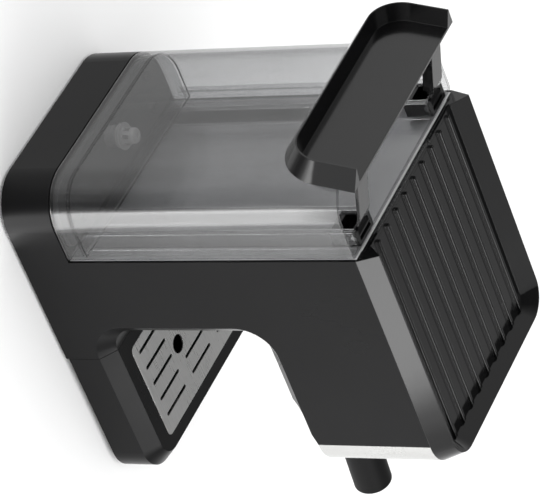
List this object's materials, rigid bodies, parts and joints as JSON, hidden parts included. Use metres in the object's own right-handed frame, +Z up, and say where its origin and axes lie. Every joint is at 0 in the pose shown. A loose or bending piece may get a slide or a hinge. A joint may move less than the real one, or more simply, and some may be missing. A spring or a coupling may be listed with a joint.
{
  "type": "espresso machine",
  "caption": "Home espresso machine with a portafilter group, drip tray with slotted grille, ribbed cup warmer, steam wand and a rear water tank whose lid lifts and tips back.",
  "frame": {"origin": "under the middle of the whole machine's box, on the surface it stands on", "axes": "+Z up, -Y to the front where the portafilter is, +Y to the water tank, +X to the right as seen from the front"},
  "size_m": [0.2, 0.407, 0.3135],
  "materials": {
    "body_plastic": "satin-gloss moulded black",
    "cover_plastic": "gloss moulded black",
    "inner_plastic": "matte black moulding",
    "panel_plastic": "satin grey panel behind the tank",
    "knob_plastic": "satin black",
    "handle_plastic": "satin black bakelite",
    "front_steel": "bright brushed",
    "grille_steel": "brushed",
    "bright_steel": "polished",
    "zinc_steel": "zinc plated",
    "coil_steel": "dark plated",
    "bright_chrome": "polished",
    "cast_aluminium": "as cast",
    "brass": "turned",
    "rubber": "matte",
    "silicone": "translucent white silicone",
    "hose_ptfe": "white",
    "circuit_board": "solder mask",
    "lamp_lens": "translucent",
    "pump_plastic": "moulded",
    "valve_plastic": "translucent white",
    "clear_plastic": "smoke-tinted clear"
  },
  "bodies": {
    "housing": {"outer_housing": "body_plastic", "column_front_panel": "body_plastic", "head_underside": "body_plastic", "rear_panel": "panel_plastic", "base_plate": "inner_plastic", "base_screws": "zinc_steel", "rubber_feet": "rubber", "cord_gland": "rubber", "top_cover": "cover_plastic", "cup_tray": "cover_plastic", "front_panel": "front_steel", "button_carrier": "inner_plastic", "switch_block": "inner_plastic", "control_board": "circuit_board", "indicator_lenses": "lamp_lens", "steam_valve": "brass", "steam_feed_pipe": "hose_ptfe", "wand_feed_pipe": "hose_ptfe", "wand_socket": "inner_plastic", "group_head": "cast_aluminium", "bayonet_collar": "cast_aluminium", "group_gasket": "silicone", "shower_screen": "bright_steel", "shower_screw": "bright_steel", "boiler_shell": "cast_aluminium", "boiler_lid": "cast_aluminium", "boiler_screws": "zinc_steel", "thermostat": "zinc_steel", "pump_body": "pump_plastic", "pump_coil": "coil_steel", "pump_mounts": "rubber", "suction_hose": "silicone", "pressure_hose": "hose_ptfe", "tank_seat": "inner_plastic", "inlet_port": "inner_plastic", "inlet_seal": "silicone"},
    "drip_tray": {"drip_tray": "body_plastic"},
    "grille": {"grille": "grille_steel"},
    "portafilter": {"portafilter_ring": "bright_chrome", "filter_basket": "bright_steel", "portafilter_spout": "bright_chrome", "handle_stem": "bright_chrome", "handle_grip": "handle_plastic"},
    "steam_wand": {"wand_tube": "bright_chrome", "wand_grip": "rubber", "wand_nozzle": "bright_chrome"},
    "steam_control": {"steam_knob": "knob_plastic", "steam_spindle": "brass"},
    "power_button": {"power_button": "bright_chrome"},
    "brew_button": {"brew_button": "bright_chrome"},
    "steam_button": {"steam_button": "bright_chrome"},
    "tank": {"water_tank": "clear_plastic", "valve_body": "valve_plastic", "valve_spring": "bright_steel"},
    "tank_valve": {"valve_plunger": "valve_plastic"},
    "lid_slider": {"slide_blocks": "cover_plastic", "hinge_pins": "bright_steel"},
    "lid": {"tank_lid": "cover_plastic", "lid_arms": "cover_plastic"}
  },
  "joints": [
    {"name": "drip_tray_slide", "type": "slide", "parent": "housing", "child": "drip_tray", "axis": [0, -1, 0], "range_m": [0, 0.13]},
    {"name": "grille_lift", "type": "slide", "parent": "drip_tray", "child": "grille", "axis": [0, 0, 1], "range_m": [0, 0.05]},
    {"name": "portafilter_turn", "type": "hinge", "parent": "housing", "child": "portafilter", "pos_m": [0, -0.03973, 0.165], "axis": [0, 0, 1], "range_deg": [-45, 0]},
    {"name": "wand_swing", "type": "hinge", "parent": "housing", "child": "steam_wand", "pos_m": [0.0796, -0.05173, 0.19], "axis": [0, -1, 0], "range_deg": [0, 30]},
    {"name": "steam_knob_turn", "type": "hinge", "parent": "housing", "child": "steam_control", "pos_m": [0.06, -0.10673, 0.244], "axis": [0, 1, 0], "range_deg": [0, 270]},
    {"name": "power_button_press", "type": "slide", "parent": "housing", "child": "power_button", "axis": [0, 1, 0], "range_m": [0, 0.002], "stiffness_N_per_m": 400, "springref_m": -0.001},
    {"name": "brew_button_press", "type": "slide", "parent": "housing", "child": "brew_button", "axis": [0, 1, 0], "range_m": [0, 0.002], "stiffness_N_per_m": 400, "springref_m": -0.001},
    {"name": "steam_button_press", "type": "slide", "parent": "housing", "child": "steam_button", "axis": [0, 1, 0], "range_m": [0, 0.002], "stiffness_N_per_m": 400, "springref_m": -0.001},
    {"name": "tank_lift", "type": "slide", "parent": "housing", "child": "tank", "axis": [0, 0, 1], "range_m": [0, 0.26]},
    {"name": "valve_push", "type": "slide", "parent": "tank", "child": "tank_valve", "axis": [0, 0, 1], "range_m": [0, 0.0015], "stiffness_N_per_m": 150, "springref_m": -0.001, "deforming": ["valve_spring"]},
    {"name": "lid_slide", "type": "slide", "parent": "tank", "child": "lid_slider", "axis": [0, 0, 1], "range_m": [-0.0528, 0]},
    {"name": "lid_hinge", "type": "hinge", "parent": "lid_slider", "child": "lid", "pos_m": [0, 0.12207, 0.2849], "axis": [1, 0, 0], "range_deg": [0, 75.3]}
  ],
  "couplings": [
    {"joint": "lid_slide", "follows": "lid_hinge", "m_per_rad": -0.040099}
  ]
}
